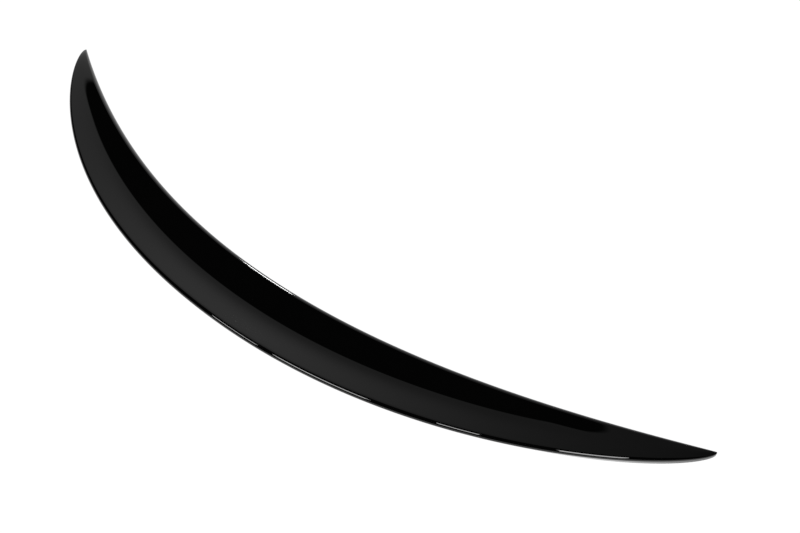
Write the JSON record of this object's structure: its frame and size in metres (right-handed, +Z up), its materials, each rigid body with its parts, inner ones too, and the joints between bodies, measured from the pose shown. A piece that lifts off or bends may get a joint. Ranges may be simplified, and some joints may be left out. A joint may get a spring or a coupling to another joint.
{
  "type": "car rear lip spoiler",
  "caption": "Slim crescent lip spoiler that is bonded along the rear edge of a car's boot lid, with a dished top, a kicked-up tail edge and a cored underside.",
  "frame": {"origin": "on the car's centre plane, in the middle of the rear land, on the plane that the part stands on", "axes": "+X across the car, +Y towards the front of the car, +Z up"},
  "size_m": [1.188, 0.2529, 0.0277],
  "materials": {
    "gloss_black": "moulded plastic with a high-gloss black lacquer"
  },
  "bodies": {
    "root": {"lip_spoiler": "gloss_black"}
  },
  "joints": []
}
